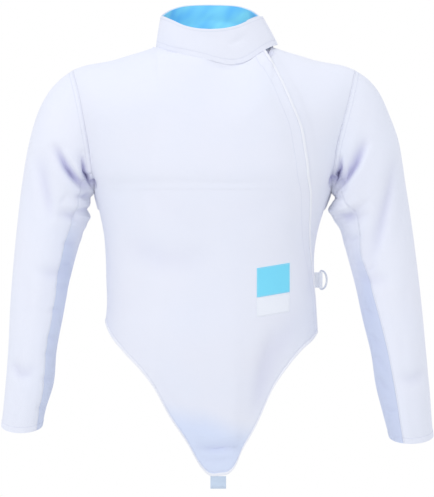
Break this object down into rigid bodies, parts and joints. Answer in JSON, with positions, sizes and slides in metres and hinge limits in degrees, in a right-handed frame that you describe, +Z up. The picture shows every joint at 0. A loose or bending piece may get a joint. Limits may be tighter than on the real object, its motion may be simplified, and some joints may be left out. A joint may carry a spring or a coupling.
{
  "type": "fencing jacket",
  "caption": "White fencing jacket with a lapped front that runs to a point, two-piece sleeves, a lined stand collar and a D-ring.",
  "frame": {"origin": "middle of the neck's base, where the wearer's shoulders carry the jacket", "axes": "+Z up, the front faces -Y, +X is the wearer's left"},
  "size_m": [0.695, 0.2338, 0.7829],
  "materials": {
    "cloth": "matt white cotton twill with a cool tint",
    "lining": "bright blue woven lining",
    "label_blue": "plain blue woven patch",
    "label_white": "plain white woven patch",
    "webbing": "pale woven webbing",
    "steel": "nickel-plated wire"
  },
  "bodies": {
    "jacket": {"front_right": "cloth", "front_left": "cloth", "back": "cloth", "sleeve_right_upper": "cloth", "sleeve_right_under": "cloth", "sleeve_left_upper": "cloth", "sleeve_left_under": "cloth", "collar": "cloth", "collar_lining": "lining", "flap_edge": "cloth", "hem_binding": "cloth", "label_upper": "label_blue", "label_lower": "label_white", "crotch_loop": "webbing", "ring_tab": "webbing"},
    "ring": {"d_ring": "steel"}
  },
  "joints": [
    {"name": "ring_swing", "type": "hinge", "parent": "jacket", "child": "ring", "pos_m": [0.1722, -0.002, -0.361], "axis": [0, 0, 1], "range_deg": [-172, 68]}
  ]
}
